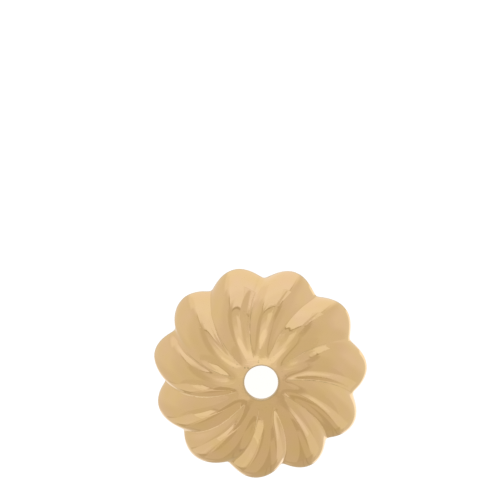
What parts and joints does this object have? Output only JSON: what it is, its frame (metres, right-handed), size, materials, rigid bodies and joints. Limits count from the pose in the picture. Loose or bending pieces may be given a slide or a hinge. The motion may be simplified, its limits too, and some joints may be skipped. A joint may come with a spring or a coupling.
{
  "type": "bead cap",
  "caption": "Domed, swirl-fluted flower bead cap of gold-plated sheet that seats on the end of a round bead.",
  "frame": {"origin": "on the axis of the pin hole, in the plane of the rim that the cap stands on", "axes": "+Z out of the dome along the pin hole, +X through the tip of one petal"},
  "size_m": [0.0098, 0.01, 0.0027],
  "materials": {
    "gold_plate": "polished gold plate on stamped brass sheet"
  },
  "bodies": {
    "root": {"bead_cap": "gold_plate"}
  },
  "joints": []
}
